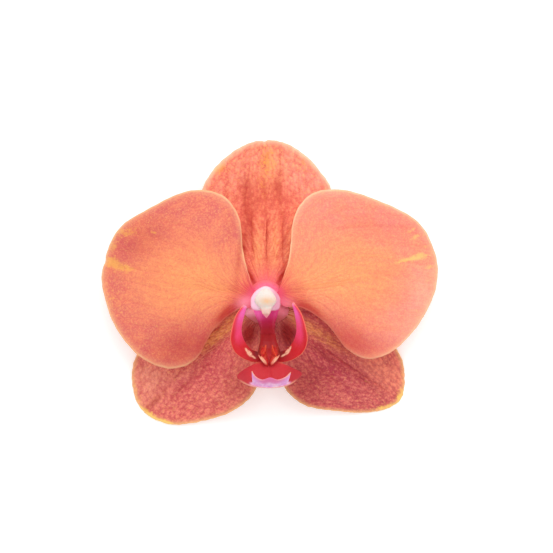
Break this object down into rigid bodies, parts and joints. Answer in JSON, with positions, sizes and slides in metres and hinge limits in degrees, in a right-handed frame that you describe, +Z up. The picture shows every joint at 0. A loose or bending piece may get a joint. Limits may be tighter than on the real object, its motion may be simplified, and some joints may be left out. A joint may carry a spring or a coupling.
{
  "type": "moth orchid bloom",
  "caption": "Picked moth orchid bloom lying face up: arched sepals, two broad petals, a three-lobed lip and a hooded column.",
  "frame": {"origin": "centre of the bounding box at the surface that the bloom lies on", "axes": "+Z up, where the bloom faces; +Y towards the dorsal sepal; +X to the right as the bloom is looked at"},
  "size_m": [0.08, 0.068, 0.0225],
  "materials": {
    "sepal": "soft satin flower tissue, brick coral with a yellow margin",
    "petal": "soft satin flower tissue, orange coral with a crimson base",
    "lip": "waxy crimson with magenta side lobes",
    "column": "waxy magenta with a pale hood",
    "anther_cap": "waxy cream",
    "pollen_wax": "waxy yellow",
    "stalk": "fleshy yellow green"
  },
  "bodies": {
    "root": {"sepal_dorsal": "sepal", "sepal_lateral_left": "sepal", "sepal_lateral_right": "sepal", "petal_left": "petal", "petal_right": "petal", "lip": "lip", "column": "column", "anther_cap": "anther_cap", "pollinarium": "pollen_wax", "pedicel": "stalk"}
  },
  "joints": []
}
